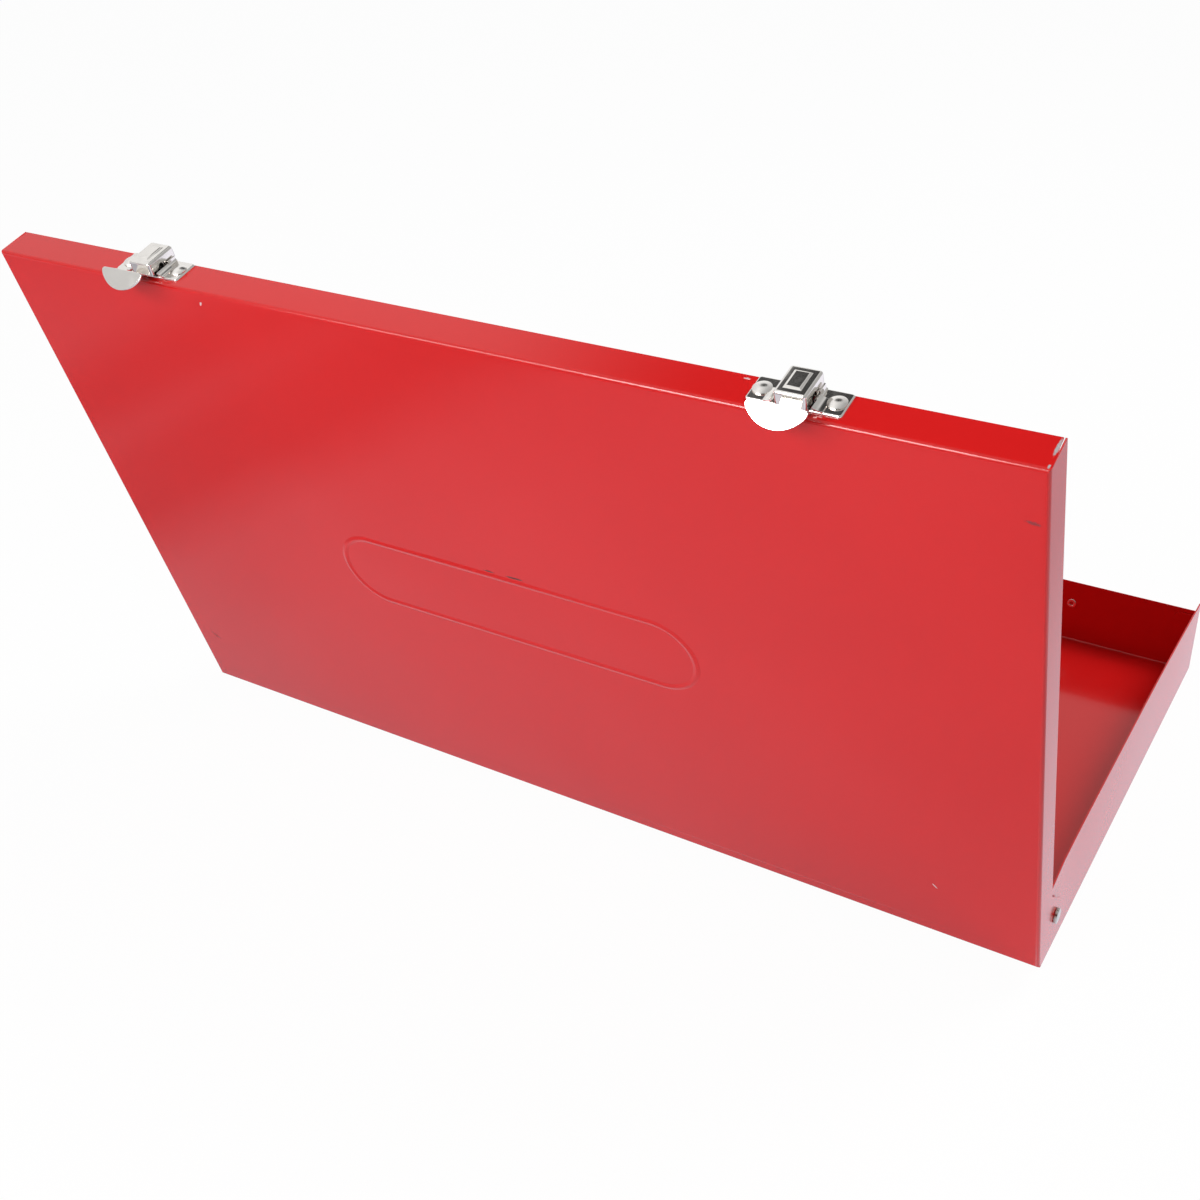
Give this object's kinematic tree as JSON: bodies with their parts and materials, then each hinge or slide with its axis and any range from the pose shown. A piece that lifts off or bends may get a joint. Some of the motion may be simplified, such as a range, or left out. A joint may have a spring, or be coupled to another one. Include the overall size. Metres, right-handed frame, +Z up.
{
  "type": "metal tool case",
  "caption": "Shallow painted sheet-steel tool case with a hinged lid that telescopes over the tray, and riveted rocking snap latches with half-moon thumb tabs.",
  "frame": {"origin": "on the tray's flat underside, below the middle of the shut lid", "axes": "+X along the hinge, +Y towards the hinge side, -Y towards the latch side, +Z up; lid open as stored"},
  "size_m": [0.5408, 0.4452, 0.3311],
  "materials": {
    "lid_paint": "gloss",
    "tray_paint": "gloss",
    "claw_steel": "bright nickel plate",
    "plate_steel": "bright nickel plate",
    "rivet_steel": "satin",
    "pin_steel": "satin"
  },
  "bodies": {
    "base": {"base_tray": "tray_paint", "tray_end_left": "tray_paint", "tray_end_right": "tray_paint", "hinge_rivet_left": "rivet_steel", "hinge_rivet_right": "rivet_steel", "hinge_washer_left": "pin_steel", "hinge_washer_right": "pin_steel", "keeper_left": "plate_steel", "keeper_right": "plate_steel", "keeper_rivet_left_outer": "rivet_steel", "keeper_rivet_left_inner": "rivet_steel", "keeper_rivet_right_outer": "rivet_steel", "keeper_rivet_right_inner": "rivet_steel"},
    "lid": {"lid_shell": "lid_paint", "latch_plate_left": "plate_steel", "latch_plate_right": "plate_steel", "latch_pin_left": "pin_steel", "latch_pin_right": "pin_steel", "latch_spring_left": "pin_steel", "latch_spring_right": "pin_steel", "latch_rivet_left_outer": "rivet_steel", "latch_rivet_left_inner": "rivet_steel", "latch_rivet_right_outer": "rivet_steel", "latch_rivet_right_inner": "rivet_steel"},
    "claw_left": {"latch_claw_left": "claw_steel"},
    "claw_right": {"latch_claw_right": "claw_steel"}
  },
  "joints": [
    {"name": "lid_hinge", "type": "hinge", "parent": "base", "child": "lid", "pos_m": [0, 0.148, 0.0302], "axis": [1, 0, 0], "range_deg": [0, 107.8]},
    {"name": "claw_left_rock", "type": "hinge", "parent": "lid", "child": "claw_left", "pos_m": [-0.1687, 0.25633, 0.32248], "axis": [1, 0, 0], "range_deg": [-6, 7], "stiffness_Nm_per_rad": 0.2},
    {"name": "claw_right_rock", "type": "hinge", "parent": "lid", "child": "claw_right", "pos_m": [0.1687, 0.25633, 0.32248], "axis": [1, 0, 0], "range_deg": [-6, 7], "stiffness_Nm_per_rad": 0.2}
  ]
}
